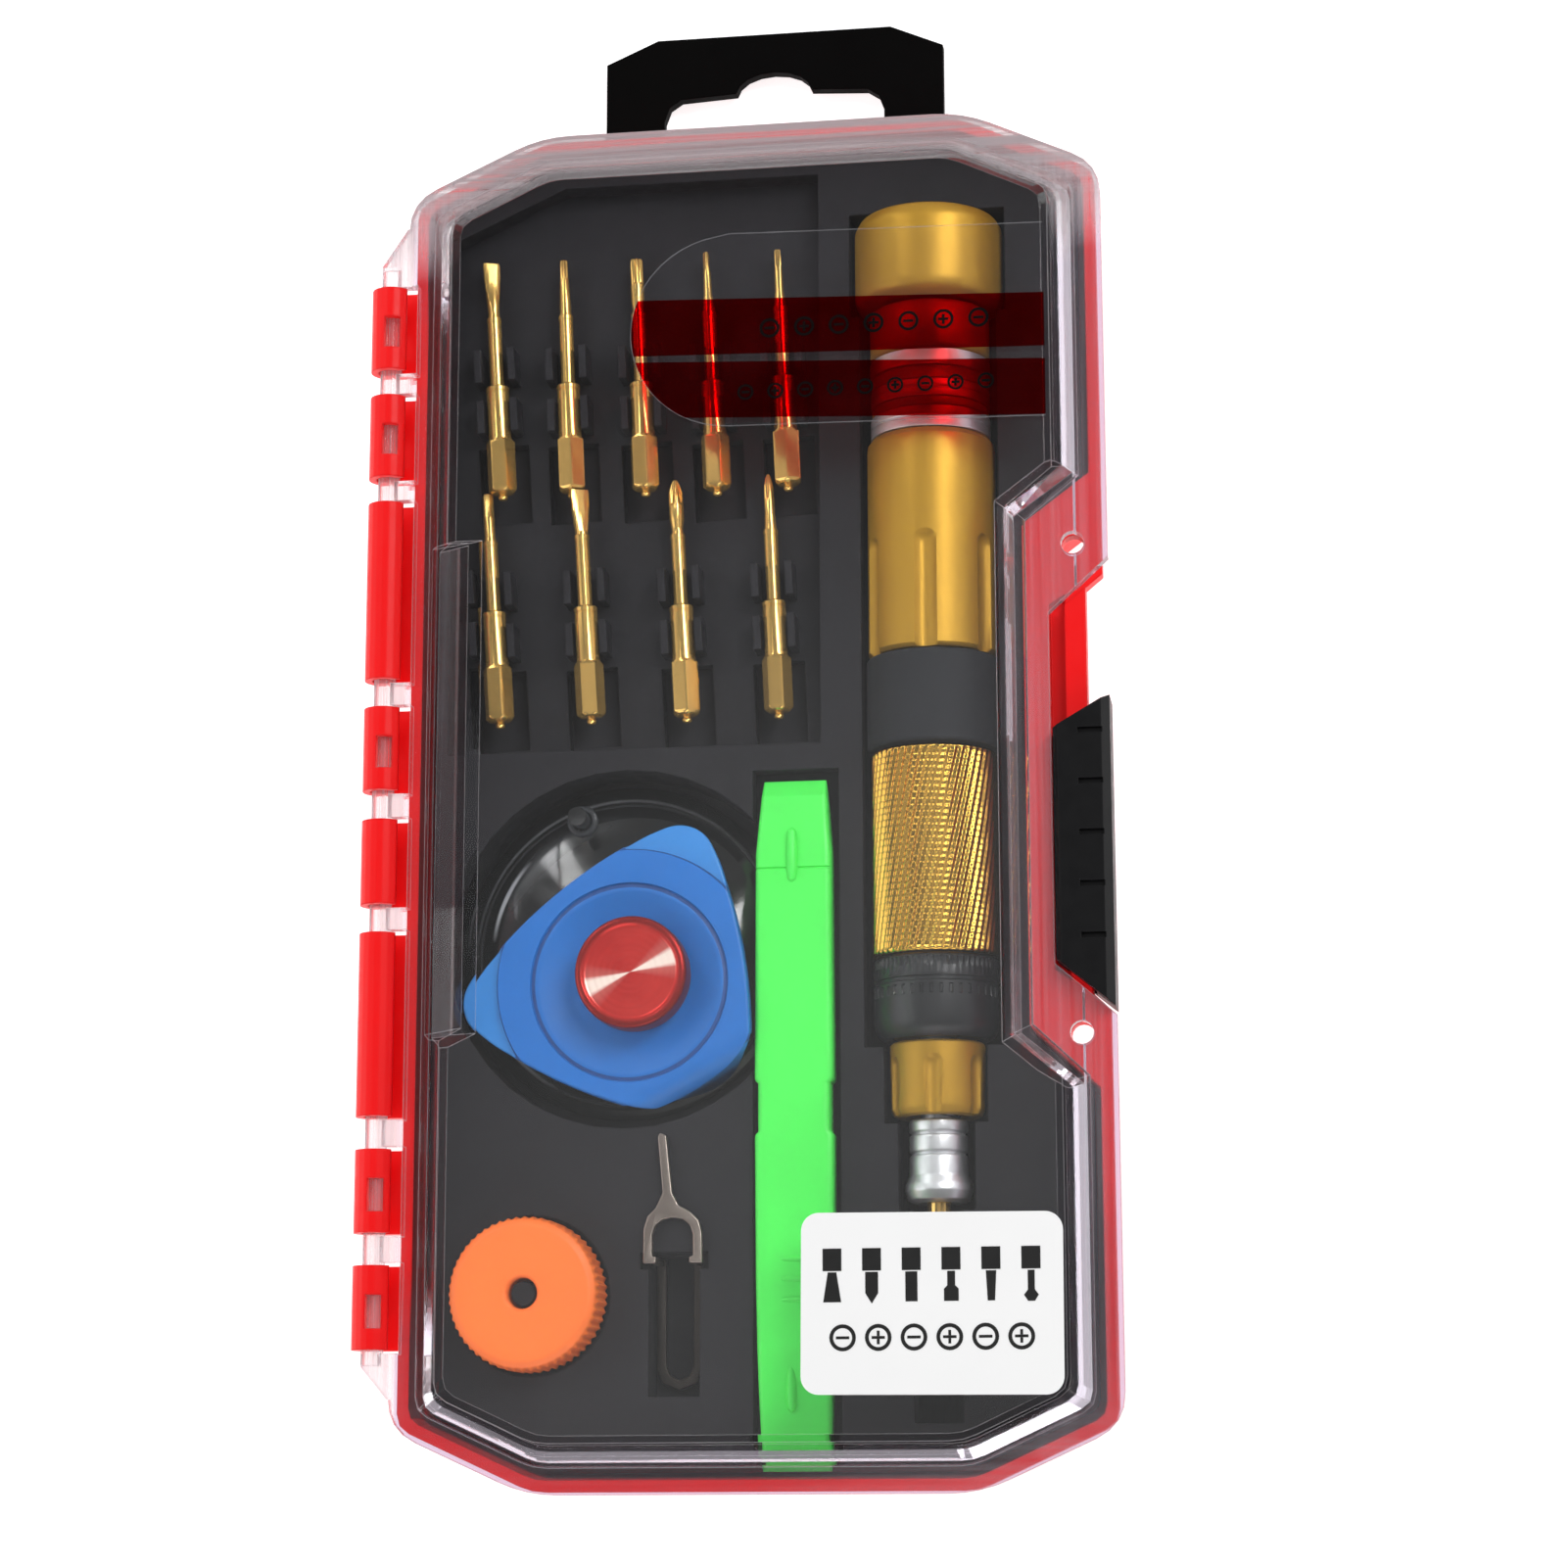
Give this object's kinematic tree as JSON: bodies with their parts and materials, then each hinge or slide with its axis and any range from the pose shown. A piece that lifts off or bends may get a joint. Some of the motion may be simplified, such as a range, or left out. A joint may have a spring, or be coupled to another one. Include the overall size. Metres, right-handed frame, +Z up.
{
  "type": "precision screwdriver set",
  "caption": "Flat hinged case with a clear lid, sliding catch and hang tab, holding a precision driver, loose bits, suction cup, pick, spudger, pin and magnetiser.",
  "frame": {"origin": "middle of the flat underside of the case", "axes": "+Y along the case towards the hang tab, +X towards the sliding catch, +Z up through the lid"},
  "size_m": [0.0922, 0.1897, 0.0267],
  "materials": {
    "case_red": "satin",
    "clear_lid": "clear moulded plastic",
    "catch_black": "satin",
    "tab_black": "satin",
    "tray_charcoal": "fine texture",
    "label_white": "satin",
    "film_red": "clear film with red bands",
    "gold_anodised": "satin anodised",
    "silver_turned": "turned",
    "sleeve_black": "matte",
    "collar_black": "satin",
    "bit_gold": "plated",
    "washer_brass": "satin",
    "magnet_grey": "plated",
    "spring_steel": "drawn wire",
    "cup_black": "glossy, part clear",
    "knob_red": "spun, red anodised",
    "pick_blue": "satin",
    "spudger_green": "satin",
    "pin_steel": "stamped",
    "body_orange": "satin"
  },
  "bodies": {
    "case": {"base_shell": "case_red", "insert_tray": "tray_charcoal", "cap_axle": "silver_turned", "cap_washer": "washer_brass", "driver_barrel": "gold_anodised", "driver_sleeve": "sleeve_black", "driver_grip": "gold_anodised", "driver_collar": "collar_black", "driver_nose": "gold_anodised", "bit_holder": "silver_turned", "holder_magnet": "magnet_grey", "chuck_spring": "spring_steel", "chuck_ball": "silver_turned", "driver_bit": "bit_gold", "bit_star_1": "bit_gold", "bit_slot_1": "bit_gold", "bit_star_2": "bit_gold", "bit_three_wing": "bit_gold", "bit_square": "bit_gold", "bit_hex": "bit_gold", "bit_slot_2": "bit_gold", "bit_cross_1": "bit_gold", "bit_cross_2": "bit_gold", "suction_cup": "cup_black", "cup_stud": "silver_turned", "cup_knob": "knob_red", "opening_pick": "pick_blue", "spudger": "spudger_green", "eject_pin": "pin_steel", "magnetizer_body": "body_orange", "magnetizer_ring": "magnet_grey"},
    "lid": {"lid_shell": "clear_lid", "lid_label": "label_white", "lid_film": "film_red"},
    "catch": {"latch_slider": "catch_black"},
    "hanger": {"hanger_tab": "tab_black"},
    "cap": {"driver_cap": "gold_anodised", "cap_insert": "gold_anodised"},
    "chuck": {"chuck_sleeve": "silver_turned"}
  },
  "joints": [
    {"name": "lid_hinge", "type": "hinge", "parent": "case", "child": "lid", "pos_m": [-0.046, 0, 0.0219], "axis": [0, -1, 0], "range_deg": [0, 180]},
    {"name": "catch_slide", "type": "slide", "parent": "case", "child": "catch", "axis": [0, 1, 0], "range_m": [0, 0.013]},
    {"name": "hanger_slide", "type": "slide", "parent": "case", "child": "hanger", "axis": [0, -1, 0], "range_m": [0, 0.02]},
    {"name": "cap_spin", "type": "hinge", "parent": "case", "child": "cap", "pos_m": [0.0216, 0.067, 0.015], "axis": [0, 1, 0], "continuous": true},
    {"name": "chuck_pull", "type": "slide", "parent": "case", "child": "chuck", "axis": [0, 1, 0], "range_m": [0, 0.0025], "stiffness_N_per_m": 120, "springref_m": -0.002, "deforming": ["chuck_spring"]}
  ]
}
